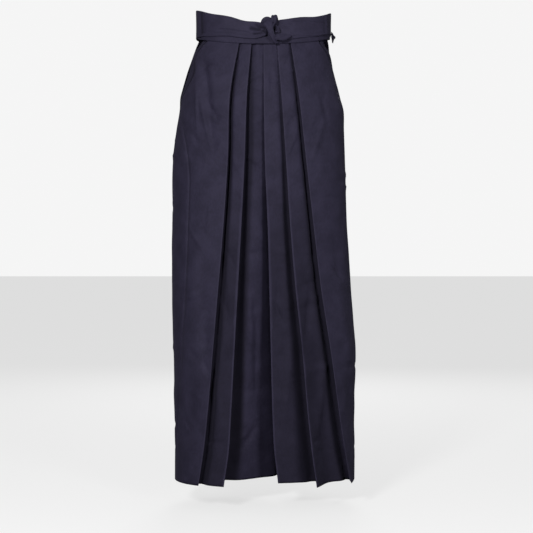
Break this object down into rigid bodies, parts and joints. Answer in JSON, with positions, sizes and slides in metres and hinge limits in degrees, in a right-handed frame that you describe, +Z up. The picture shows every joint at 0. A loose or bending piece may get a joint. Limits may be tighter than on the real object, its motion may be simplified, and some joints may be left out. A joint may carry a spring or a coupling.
{
  "type": "hakama trousers",
  "caption": "Divided hakama trousers worn at the waist, with deep front pleats, slanted side vents, folded waistband, back board and ties knotted in front.",
  "frame": {"origin": "centre of the waist, level with the middle of the front waistband", "axes": "+Z up, +X towards the wearer's left, front faces -Y"},
  "size_m": [0.4065, 0.2677, 1.0411],
  "materials": {
    "twill": "matte dark navy cotton and polyester twill, pressed",
    "twill_inner": "the same twill on inner layers, with no pressing shine",
    "folded_tie": "the same twill folded in several layers and topstitched"
  },
  "bodies": {
    "root": {"front_right": "twill", "front_left": "twill", "back_right": "twill", "back_left": "twill", "gusset_right": "twill_inner", "gusset_left": "twill_inner", "leaf_fold_right": "twill_inner", "leaf_fold_left": "twill_inner", "front_waistband": "folded_tie", "back_tie_right": "folded_tie", "back_tie_left": "folded_tie", "back_board": "folded_tie", "knot_turn": "folded_tie", "knot_tail_upper": "folded_tie", "knot_tail_lower": "folded_tie", "tie_tip": "twill_inner"}
  },
  "joints": []
}
